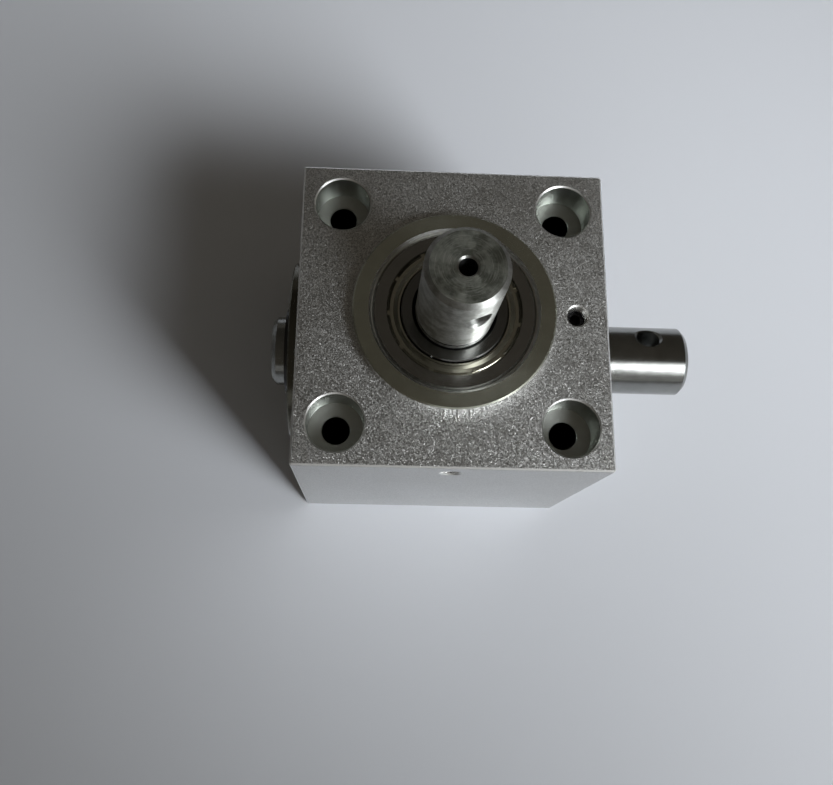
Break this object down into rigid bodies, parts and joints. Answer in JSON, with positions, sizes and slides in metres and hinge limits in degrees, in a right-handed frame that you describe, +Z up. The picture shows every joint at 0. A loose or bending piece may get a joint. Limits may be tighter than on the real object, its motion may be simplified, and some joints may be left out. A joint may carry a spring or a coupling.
{
  "type": "right angle bevel gearbox",
  "caption": "Cube-shaped right angle gearbox with an upright input shaft and a horizontal output shaft with a rear stub, both on shielded ball bearings in flanged cartridges.",
  "frame": {"origin": "centre of the housing's bottom face", "axes": "+Z up along the input shaft, +X along the output shaft's long end; the two shaft axes cross 30 mm above the origin"},
  "size_m": [0.0909, 0.06, 0.084],
  "materials": {
    "housing": "sand-blasted, clear anodised",
    "cartridge": "fine turned",
    "bearing_ring": "ground",
    "shield": "pressed sheet",
    "balls": "polished",
    "cage": "pressed and drilled",
    "gear": "cut and oiled",
    "shaft": "ground and polished",
    "fastener": "black oxide"
  },
  "bodies": {
    "housing": {"housing": "housing", "input_cartridge": "cartridge", "output_cartridge": "cartridge", "stub_cartridge": "cartridge", "input_set_screw": "fastener", "output_set_screw": "fastener", "stub_set_screw": "fastener", "input_bearing_outer_ring": "bearing_ring", "input_bearing_outer_shield": "shield", "input_bearing_inner_shield": "shield", "output_bearing_outer_ring": "bearing_ring", "output_bearing_outer_shield": "shield", "output_bearing_inner_shield": "shield", "stub_bearing_outer_ring": "bearing_ring", "stub_bearing_outer_shield": "shield", "stub_bearing_inner_shield": "shield", "hub_bearing_outer_ring": "bearing_ring"},
    "input": {"input_shaft": "shaft", "input_gear": "gear", "input_gear_key": "fastener", "input_circlip": "fastener", "input_bearing_inner_ring": "bearing_ring", "hub_bearing_inner_ring": "bearing_ring"},
    "output": {"output_shaft": "shaft", "output_gear": "gear", "output_gear_pin": "fastener", "stub_inner_circlip": "fastener", "stub_outer_circlip": "fastener", "stub_shim": "fastener", "output_bearing_inner_ring": "bearing_ring", "stub_bearing_inner_ring": "bearing_ring"},
    "input_cage": {"input_bearing_cage": "cage", "input_bearing_balls": "balls"},
    "hub_cage": {"hub_bearing_cage": "cage", "hub_bearing_balls": "balls"},
    "output_cage": {"output_bearing_cage": "cage", "output_bearing_balls": "balls"},
    "stub_cage": {"stub_bearing_cage": "cage", "stub_bearing_balls": "balls"}
  },
  "joints": [
    {"name": "output_spin", "type": "hinge", "parent": "housing", "child": "output", "pos_m": [0, 0, 0.03], "axis": [1, 0, 0], "continuous": true},
    {"name": "input_spin", "type": "hinge", "parent": "housing", "child": "input", "pos_m": [0, 0, 0.03], "axis": [0, 0, 1], "continuous": true},
    {"name": "input_cage_spin", "type": "hinge", "parent": "housing", "child": "input_cage", "pos_m": [0, 0, 0.03], "axis": [0, 0, 1], "continuous": true},
    {"name": "hub_cage_spin", "type": "hinge", "parent": "housing", "child": "hub_cage", "pos_m": [0, 0, 0.03], "axis": [0, 0, 1], "continuous": true},
    {"name": "output_cage_spin", "type": "hinge", "parent": "housing", "child": "output_cage", "pos_m": [0, 0, 0.03], "axis": [1, 0, 0], "continuous": true},
    {"name": "stub_cage_spin", "type": "hinge", "parent": "housing", "child": "stub_cage", "pos_m": [0, 0, 0.03], "axis": [1, 0, 0], "continuous": true}
  ],
  "couplings": [
    {"joint": "input_spin", "follows": "output_spin", "ratio": -1},
    {"joint": "input_cage_spin", "follows": "output_spin", "ratio": -0.39868},
    {"joint": "hub_cage_spin", "follows": "output_spin", "ratio": -0.43295},
    {"joint": "output_cage_spin", "follows": "output_spin", "ratio": 0.39868},
    {"joint": "stub_cage_spin", "follows": "output_spin", "ratio": 0.39868}
  ]
}
